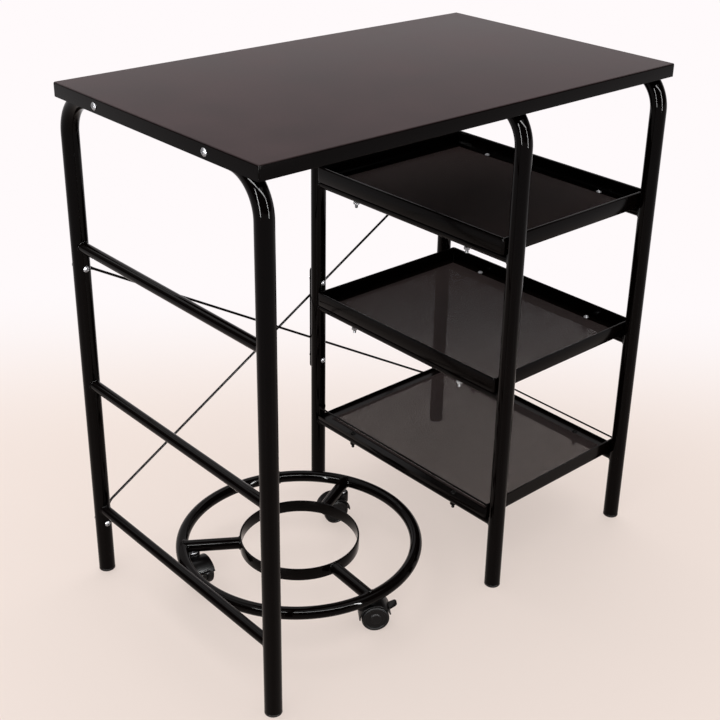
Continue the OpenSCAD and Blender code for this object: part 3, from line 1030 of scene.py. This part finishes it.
COAT_DARK = (0.0016, 0.0008, 0.0007, 1)
COAT_LIGHT = (0.0028, 0.0016, 0.0014, 1)
BOLT_PAINT = (0.0022, 0.0012, 0.0011, 1)
GREY_DUST = (0.20, 0.17, 0.155, 1)
# Pinkish grey for the table's upward face: a little of it a dusting, most of it a painted sheen of
# the pale room
TOP_DUST_AND_SHEEN = (0.40, 0.235, 0.245, 1)
# Wire colours, lighter and browner than the tube paint: partly a dusting, partly a painted
# reflection of the warm floor
WIRE_DARK_DUST_AND_REFLECTION = (0.022, 0.0120, 0.0108, 1)
WIRE_LIGHT_DUST_AND_REFLECTION = (0.031, 0.0180, 0.0165, 1)
ZINC_DARK = (0.17, 0.17, 0.175, 1)
ZINC_LIGHT = (0.30, 0.30, 0.31, 1)
SCUFF_GREY = (0.16, 0.15, 0.14, 1)
FOOT_COLOUR = (0.005, 0.0042, 0.0042, 1)
FORK_COLOUR = (0.0032, 0.0024, 0.0024, 1)
TYRE_COLOUR = (0.0045, 0.0036, 0.0036, 1)
SCUFF_H = 0.006
PAINT_SPECULAR = 0.052


def shade(colour, share):
    """A colour made darker or lighter by a share."""
    return tuple(share * part for part in colour[:3]) + (1,)


def powder_coat(name, rough, rubbed, peel, specular, dust_and_sheen_share, dust_and_sheen_colour):
    """Black powder coat: orange peel, a slow drift of gloss, and rubbed tops with a dusting, which
    on the table top is mostly a painted sheen of the pale room.
    """
    coat = Finish(name)
    place = coat.place()
    drift = coat.noise(place, 11.0, 3.0)
    grain = coat.noise(place, 1400.0, 1.0)
    waves = coat.noise(place, 420.0, 2.0)
    specks = coat.between(coat.noise(place, 300.0, 3.0), 0.62, 0.75)
    tops = coat.between(coat.upward(), 0.3, 1.0)
    # Upward faces take this colour: a faint dusting on the tubes and sheet, mostly painted sheen on
    # the table top
    dust_and_sheen = tops * (0.35 + 0.65 * drift) * dust_and_sheen_share
    black = coat.mix(drift, COAT_DARK, COAT_LIGHT)
    colour = coat.mix(dust_and_sheen * (0.6 + 0.4 * specks), black, dust_and_sheen_colour)
    return coat.surface(
        Base_Color=colour,
        Roughness=rough + 0.07 * drift + rubbed * tops + 0.02 * grain,
        Normal=coat.bump(waves, peel, 0.0004),
        Specular_IOR_Level=specular,
    )


def mesh_paint():
    """Paint on fine wire, duller than on the tubes and slowly drifting in tone; its lighter
    brownish colour is partly a dusting and partly a painted reflection of the warm floor.
    """
    paint = Finish("mesh_paint")
    place = paint.place()
    drift = paint.noise(place, 9.0, 3.0)
    colour = paint.mix(drift, WIRE_DARK_DUST_AND_REFLECTION, WIRE_LIGHT_DUST_AND_REFLECTION)
    return paint.surface(
        Base_Color=colour, Roughness=0.55 + 0.16 * drift, Specular_IOR_Level=0.1
    )


def zinc_plate(name, painted_below=None):
    """Zinc, cloudy and with fine turning marks, painted over below a height if one is given."""
    zinc = Finish(name)
    place = zinc.place()
    cloud = zinc.noise(place, 260.0, 3.0)
    marks = zinc.noise(place, 2600.0, 2.0)
    colour = zinc.mix(cloud, ZINC_DARK, ZINC_LIGHT)
    bare = 1.0
    if painted_below is not None:
        bare = zinc.between(zinc.height(place), painted_below - SMALL, painted_below + SMALL)
        colour = zinc.mix(bare, BOLT_PAINT, colour)
    return zinc.surface(
        Base_Color=colour,
        Metallic=bare,
        Specular_IOR_Level=PAINT_SPECULAR,
        Roughness=0.34 + 0.16 * cloud + 0.05 * marks,
        Normal=zinc.bump(marks, 0.08, 0.0002),
    )


def moulded_plastic(name, black, rough, scuff):
    """Moulded plastic with a fine spark-eroded grain and grey scuffs close to the floor."""
    plastic = Finish(name)
    place = plastic.place()
    drift = plastic.noise(place, 60.0, 3.0)
    grain = plastic.noise(place, 3200.0, 1.0)
    near_floor = 1 - plastic.between(plastic.height(place), 0.0, SCUFF_H)
    worn = near_floor * plastic.between(plastic.noise(place, 420.0, 4.0), 0.4, 0.7) * scuff
    dark = plastic.mix(drift, black, shade(black, 1.5))
    return plastic.surface(
        Base_Color=plastic.mix(worn, dark, SCUFF_GREY),
        Roughness=rough + 0.12 * drift + 0.25 * worn,
        Normal=plastic.bump(grain, 0.12, 0.0002),
        Specular_IOR_Level=0.12,
    )


def dress(piece, material, slot, body, *nodes):
    """Give a piece its finish, the body that it moves with and the nodes that it stands for."""
    piece.data.materials.clear()
    piece.data.materials.append(material)
    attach(piece, body)
    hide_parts(*nodes)


gloss_black = powder_coat("gloss_black", 0.015, 0.0, 0.02, PAINT_SPECULAR, 0.002, GREY_DUST)
# The table top's large share of this colour is mostly painted sheen, which lightens its upward face
top_black = powder_coat("top_black", 0.10, 0.24, 0.04, 0.045, 0.165, TOP_DUST_AND_SHEEN)
sheet_black = powder_coat("sheet_black", 0.10, 0.06, 0.06, 0.05, 0.003, GREY_DUST)
wire_black = mesh_paint()
zinc = zinc_plate("zinc_plate")
tray_zinc = zinc_plate("tray_zinc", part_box("bottom_shelf_rim")[1].z + SHELF_EDGE_H)
foot_black = moulded_plastic("foot_black", FOOT_COLOUR, 0.40, 0.5)
fork_black = moulded_plastic("fork_black", FORK_COLOUR, 0.26, 0.2)
tyre_black = moulded_plastic("tyre_black", TYRE_COLOUR, 0.36, 0.4)


# The table and the stand, put together


def make_table_frames():
    for name, x in zip(FRAMES, FRAME_X):
        tube = bent_frame(f"{name}_bent_tube", x)
        dress(tube, gloss_black, "black_paint", "table", f"{name}_frame")
    rung = rung_pattern()
    for name in FRAMES:
        for level in LEVELS:
            node = f"{name}_rung_{level}"
            piece = copy_to(rung, f"{name}_{level}_rung", at(*span(node)[0]))
            dress(piece, gloss_black, "black_paint", "table", node)
    foot = foot_pattern()
    for name in FRAMES:
        for end in ("front", "back"):
            node = f"{name}_{end}_foot"
            middle = span(node)[0]
            piece = copy_to(foot, f"{name}_{end}_plug", at(middle.x, middle.y))
            dress(piece, foot_black, "black_plastic", "table", node)
    throw_away(rung, foot)


def make_trays():
    for name, make_rim in zip(TRAYS, (hemmed_rim, hemmed_rim, shelf_rim)):
        node = f"{name}_rim"
        dress(make_rim(f"{name}_wall", node), sheet_black, "black_paint", "table", node)
    for name in TRAYS:
        node = f"{name}_mesh"
        dress(wire_floor(f"{name}_wires", node), wire_black, "black_mesh", "table", node)
    for side in ("left", "right"):
        node = f"{side}_guard_wire"
        dress(guard_wire(f"{side}_guard", node), gloss_black, "black_paint", "table", node)


def brace_bolt_heights():
    """The heights of the lowest and the highest bolts of the brace."""
    low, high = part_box("brace_bolts")
    head_r = HEAD_SHARE * SMALL_BOLT_R
    return low.z + head_r, high.z - head_r


def make_fasteners():
    """Every bolt with its nut, in the groups that the frame keeps them in."""
    bolt_y = span("tray_bolts")[1].y / 2 - HEAD_SHARE * SMALL_BOLT_R
    top_z = span("top_bolts")[0].z
    clip_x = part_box("middle_clips")[0].x + CLIP_T
    end_places = []
    clip_places = []
    for side in SIDES:
        end_places.append(at(-top_size.x / 2, side * bolt_y, top_z) @ turn(-90, "Y"))
        end_places.append(at(top_size.x / 2, side * bolt_y, top_z) @ turn(90, "Y"))
        clip_places.append(at(clip_x, side * bolt_y, top_z) @ turn(90, "Y"))
    tray_places = [
        at(x, side * bolt_y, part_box(f"{name}_rim")[0].z + SHEET)
        for name in TRAYS
        for x in FRAME_X[1:]
        for side in SIDES
    ]
    brace_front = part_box("brace_bolts")[0].y + HEAD_H
    strip_middle = span("brace_strip")[0].z
    brace_spots = [(x, z) for x in (FRAME_X[0], FRAME_X[2]) for z in brace_bolt_heights()]
    brace_spots += [(FRAME_X[1], strip_middle + side * STRIP_BOLT_SPAN / 2) for side in SIDES]
    brace_places = [at(x, brace_front, z) @ turn(90, "X") for x, z in brace_spots]
    tube = 2 * TUBE_R + 2 * WELD_GAP
    top_nut_h = 2 * NUT_SHARE * TOP_BOLT_R
    small_nut_h = 2 * NUT_SHARE * SMALL_BOLT_R
    tray_grip = SHEET + 2 * RUNG_R + 2 * WELD_GAP + small_nut_h
    sets = [
        ("top", TOP_BOLT_R, SHEET + tube + top_nut_h, BOLT_TAIL, end_places),
        ("top", TOP_BOLT_R, CLIP_T + tube + top_nut_h, BOLT_TAIL, clip_places),
        ("tray", SMALL_BOLT_R, tray_grip, BOLT_TAIL, tray_places),
        ("brace", SMALL_BOLT_R, tube + TAB_T + small_nut_h, BRACE_TAIL, brace_places),
    ]
    bolts = {}
    nuts = {}
    for kind, radius, grip, tail, places in sets:
        bolt = pan_bolt("bolt", radius, grip, tail)
        nut = hex_nut("nut", radius)
        for spot, place in enumerate(places):
            tight = place @ turn(BOLT_TURN * spot, "Z")
            bolt_copy = copy_to(bolt, f"{kind}_bolt_{spot}", tight)
            nut_copy = copy_to(nut, f"{kind}_nut_{spot}", tight @ at(z=-grip))
            bolts.setdefault(kind, []).append(bolt_copy)
            nuts.setdefault(kind, []).append(nut_copy)
        throw_away(bolt, nut)
    for kind in bolts:
        plating = tray_zinc if kind == "tray" else zinc
        pan_bolts = join(f"{kind}_pan_bolts", bolts[kind])
        hex_nuts = join(f"{kind}_hex_nuts", nuts[kind])
        dress(pan_bolts, plating, "bright_zinc", "table", f"{kind}_bolts")
        dress(hex_nuts, plating, "bright_zinc", "table", f"{kind}_nuts")


def make_brace():
    """Crossed rods behind the back legs, the middle leg's strip and the clips under the top."""
    low, high = brace_bolt_heights()
    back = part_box("brace_strip")[0].y
    length = math.hypot(FRAME_X[2] - FRAME_X[0], high - low)
    tilt = math.degrees(math.atan2(high - low, FRAME_X[2] - FRAME_X[0]))
    rods = (("falling", high, 1, FALLING_RISE), ("rising", low, -1, RISING_RISE))
    for name, start, way, rise in rods:
        rod = brace_rod(f"{name}_rod", length, rise)
        move_to(rod, at(FRAME_X[0], back, start) @ turn(way * tilt, "Y"))
        dress(rod, gloss_black, "black_paint", "table", f"{name}_brace_rod")
    strip = plate("leg_strip", *span("brace_strip"), lambda point: True)
    dress(strip, gloss_black, "black_paint", "table", "brace_strip")
    clip = clip_pattern()
    inner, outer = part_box("middle_clips")
    clip_y = outer.y - CLIP_L / 2
    copies = [copy_to(clip, f"clip_{side}", at(inner.x, side * clip_y, outer.z)) for side in SIDES]
    throw_away(clip)
    dress(join("angle_clips", copies), gloss_black, "black_paint", "table", "middle_clips")


def make_stand():
    """The rolling stand: ring, strip, spokes and three swivelling casters."""
    dress(stand_ring(), gloss_black, "black_paint", "stand", "stand_outer_ring")
    dress(strip_ring(), gloss_black, "black_paint", "stand", "stand_inner_ring")
    spoke = spoke_pattern()
    stem = stem_pattern()
    hood = hood_pattern()
    wheel = wheel_pattern()
    axle = axle_pattern()
    hub = WEB_T / 2 + WHEEL_ROOM
    painted = (gloss_black, "black_paint")
    plated = (zinc, "bright_zinc")
    moulded = (fork_black, "caster_black")
    tyred = (tyre_black, "caster_black")
    for name in CASTERS:
        swivel = PIVOTS[f"{name}_swivel"]
        axle_at = (PIVOTS[f"{name}_wheel_spin"] + PIVOTS[f"{name}_twin_spin"]) / 2
        out = swivel - stand_middle
        trail = axle_at - swivel
        trail_turn = turn(math.degrees(math.atan2(trail.y, trail.x)), "Z")
        along_spoke = at(*stand_middle) @ turn(math.degrees(math.atan2(out.y, out.x)), "Z")
        under = at(swivel.x, swivel.y)
        on_axle = at(*axle_at) @ trail_turn @ turn(90, "X")
        far_side = at(*axle_at) @ trail_turn @ turn(-90, "X")
        caster = f"{name}_caster"
        made = (
            (spoke, "tube_spoke", along_spoke, painted, "stand", "spoke"),
            (stem, "turned_stem", under, plated, "stand", "caster_stem"),
            (hood, "hood", under @ trail_turn, moulded, caster, "caster_fork"),
            (axle, "axle_pin", on_axle, plated, caster, "caster_axle"),
            (wheel, "wheel", on_axle @ at(z=hub), tyred, f"{name}_wheel", "caster_wheel"),
            (wheel, "twin", far_side @ at(z=hub), tyred, f"{name}_twin_wheel", "caster_twin_wheel"),
        )
        for pattern, kind, place, finish, body, node in made:
            dress(copy_to(pattern, f"{name}_{kind}", place), *finish, body, f"{name}_{node}")
    throw_away(spoke, stem, hood, wheel, axle)


dress(folded_top(), top_black, "black_paint", "table", "table_top")
make_table_frames()
make_trays()
make_fasteners()
make_brace()
make_stand()


# The camera

CAMERA_AT = Vector((-1.17317, -1.28002, 1.22532))
CAMERA_AZIMUTH = math.radians(-43.019)
CAMERA_ELEVATION = math.radians(25.133)
CAMERA_ROLL = math.radians(1.461)
CAMERA_LENS = 62.634
CAMERA_SENSOR = 36
CAMERA_SHIFT = (-0.03346, -0.05985)


def make_camera():
    """The photograph's viewing angle."""
    bpy.ops.object.camera_add()
    camera = bpy.context.object
    camera.name = "photo_view"
    camera.data.lens = CAMERA_LENS
    camera.data.sensor_width = CAMERA_SENSOR
    camera.data.shift_x, camera.data.shift_y = CAMERA_SHIFT
    camera.data.clip_start = 0.01
    right = Vector((math.cos(CAMERA_AZIMUTH), math.sin(CAMERA_AZIMUTH), 0))
    level = math.cos(CAMERA_ELEVATION)
    back = Vector(
        (
            math.sin(CAMERA_AZIMUTH) * level,
            -math.cos(CAMERA_AZIMUTH) * level,
            math.sin(CAMERA_ELEVATION),
        )
    )
    up = back.cross(right)
    rolled_right = math.cos(CAMERA_ROLL) * right + math.sin(CAMERA_ROLL) * up
    rolled_up = math.cos(CAMERA_ROLL) * up - math.sin(CAMERA_ROLL) * right
    facing = Matrix((rolled_right, rolled_up, back)).transposed().to_4x4()
    camera.matrix_world = at(*CAMERA_AT) @ facing
    bpy.context.scene.camera = camera


# Floor, backdrop and light

FLOOR_SIZE = 60
FLOOR_COLOUR = (0.64, 0.555, 0.51, 1)
FLOOR_GLOW = (1.0, 0.87, 0.80, 1)
FLOOR_LIFT = 0.56
BACKDROP_COLOUR = (1.0, 0.955, 0.965, 1)
BACKDROP_WAY = (0.68, 0.73, 0.10)
DIM_SIDE = (0.10, 0.095, 0.095, 1)
PANEL_POWER = 205
STRIP_POWER = 90
TUBE_POWER = 400


def seen_directly(finish):
    """1 for what the camera, a reflection or a clear material shows, 0 for what only lights."""
    camera = finish.node("ShaderNodeLightPath", out="Is Camera Ray")
    glossy = finish.node("ShaderNodeLightPath", out="Is Glossy Ray")
    clear = finish.node("ShaderNodeLightPath", out="Is Transmission Ray")
    return camera + glossy + clear


def make_floor():
    """Pale floor that runs out into the backdrop's white away from the object."""
    put_down()
    bpy.ops.mesh.primitive_plane_add(size=FLOOR_SIZE, location=(0, 0, 0))
    floor = bpy.context.object
    floor.name = "floor"
    pale = Finish("pale_floor")
    place = pale.place()
    drift = pale.noise(place, 1.7, 2.0)
    pale.surface(
        Base_Color=pale.mix(drift, FLOOR_COLOUR, shade(FLOOR_COLOUR, 0.97)),
        Roughness=0.55,
        Specular_IOR_Level=0.2,
    )
    distance = pale.node("ShaderNodeVectorMath", {"operation": "LENGTH"}, {0: place}, "Value")
    behind = pale.node(
        "ShaderNodeVectorMath", {"operation": "DOT_PRODUCT"}, {0: place, 1: BACKDROP_WAY}, "Value"
    )
    near = (1 - pale.between(distance, 0.5, 2.0)) * (1 - pale.between(behind, 0.2, 1.0))
    fade = pale.mix(near, BACKDROP_COLOUR, FLOOR_GLOW)
    glow = pale.node("ShaderNodeEmission", {}, {"Color": fade, "Strength": 1.0})
    lit = Field(pale, pale.tree.nodes["Principled BSDF"].outputs[0])
    lift = 1 - (1 - FLOOR_LIFT) * near
    share = lift * seen_directly(pale)
    mixed = pale.node("ShaderNodeMixShader", {}, {0: share, 1: lit, 2: glow})
    pale.feed(pale.tree.nodes["Material Output"], {"Surface": mixed})
    floor.data.materials.append(pale.material)


def make_world():
    """Pale all round to the camera; as light and in reflections, dim away from the backdrop."""
    world = bpy.data.worlds.new("studio")
    world.use_nodes = True
    bpy.context.scene.world = world
    air = Finish("studio", world.node_tree)
    way = air.node("ShaderNodeTexCoord", out="Generated")
    toward = air.node(
        "ShaderNodeVectorMath", {"operation": "DOT_PRODUCT"}, {0: way, 1: BACKDROP_WAY}, "Value"
    )
    pale = air.between(toward, 0.15, 0.75)
    around = air.mix(pale, DIM_SIDE, BACKDROP_COLOUR)
    camera = air.node("ShaderNodeLightPath", out="Is Camera Ray")
    colour = air.mix(camera, around, BACKDROP_COLOUR)
    air.feed(world.node_tree.nodes["Background"], {"Color": colour, "Strength": 1.0})


def make_lamp(name, place, target, width, height, power, lights=True):
    """An area lamp. One that doesn't light only shows as a streak on what is glossy."""
    put_down()
    bpy.ops.object.light_add(type="AREA", location=place)
    lamp = bpy.context.object
    lamp.name = name
    lamp.data.shape = "RECTANGLE"
    lamp.data.size = width
    lamp.data.size_y = height
    lamp.data.energy = power
    lamp.visible_diffuse = lights
    way = Vector(target) - Vector(place)
    lamp.rotation_euler = way.to_track_quat("-Z", "Y").to_euler()


make_camera()
make_floor()
make_world()
make_lamp("ceiling_panel", (-0.3, 0.2, 3.2), (0, 0, 0), 6.0, 6.0, PANEL_POWER)
make_lamp("left_strip", (-2.2, -0.9, 1.0), (0, 0, 0.5), 0.10, 1.4, STRIP_POWER, lights=False)
make_lamp("front_strip", (0.3, -2.3, 1.0), (0, 0, 0.5), 0.10, 1.4, STRIP_POWER, lights=False)
make_lamp("near_tube", (-1.5, -1.7, 2.5), (0, 0, 0.1), 6.0, 0.25, TUBE_POWER, lights=False)
bpy.context.scene.view_settings.view_transform = "Standard"
